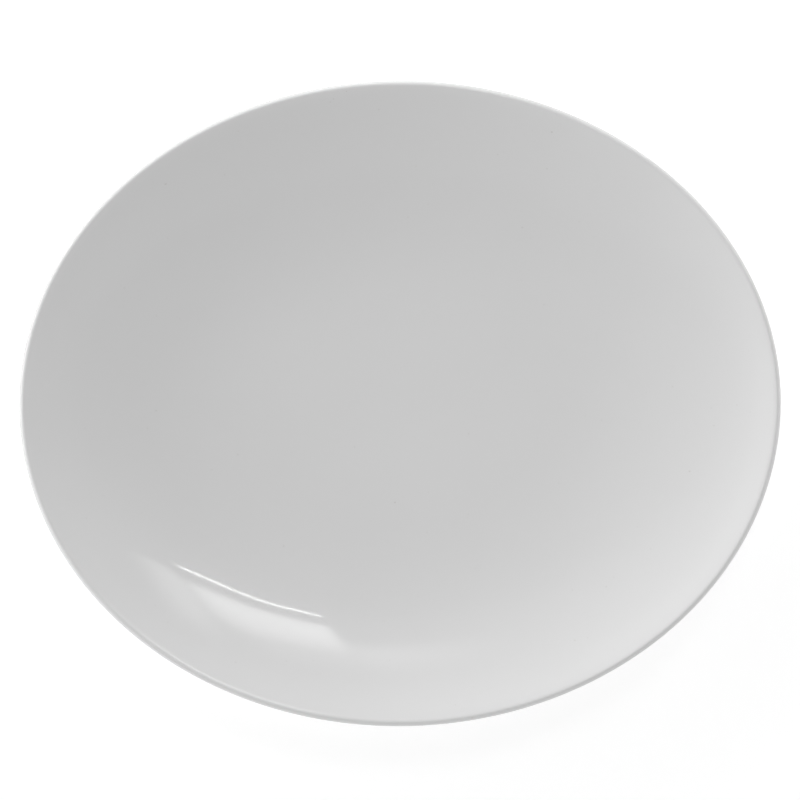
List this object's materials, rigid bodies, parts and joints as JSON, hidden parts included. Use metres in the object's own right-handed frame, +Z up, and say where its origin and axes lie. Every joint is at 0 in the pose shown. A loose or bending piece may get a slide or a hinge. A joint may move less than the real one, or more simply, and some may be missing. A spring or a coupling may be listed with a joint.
{
  "type": "serving platter",
  "caption": "Oval coupe serving platter in plain white glazed china, with a shallow dished well, rounded lip and low foot ring.",
  "frame": {"origin": "centre of the plane that the foot ring stands on", "axes": "+X along the long axis of the oval, +Y along the short axis, +Z up out of the serving face"},
  "size_m": [0.337, 0.286, 0.03],
  "materials": {
    "fired_china": "matte",
    "glaze": "polished"
  },
  "bodies": {
    "root": {"china_body": "fired_china", "glaze_coat": "glaze", "foot_well_glaze": "glaze"}
  },
  "joints": []
}
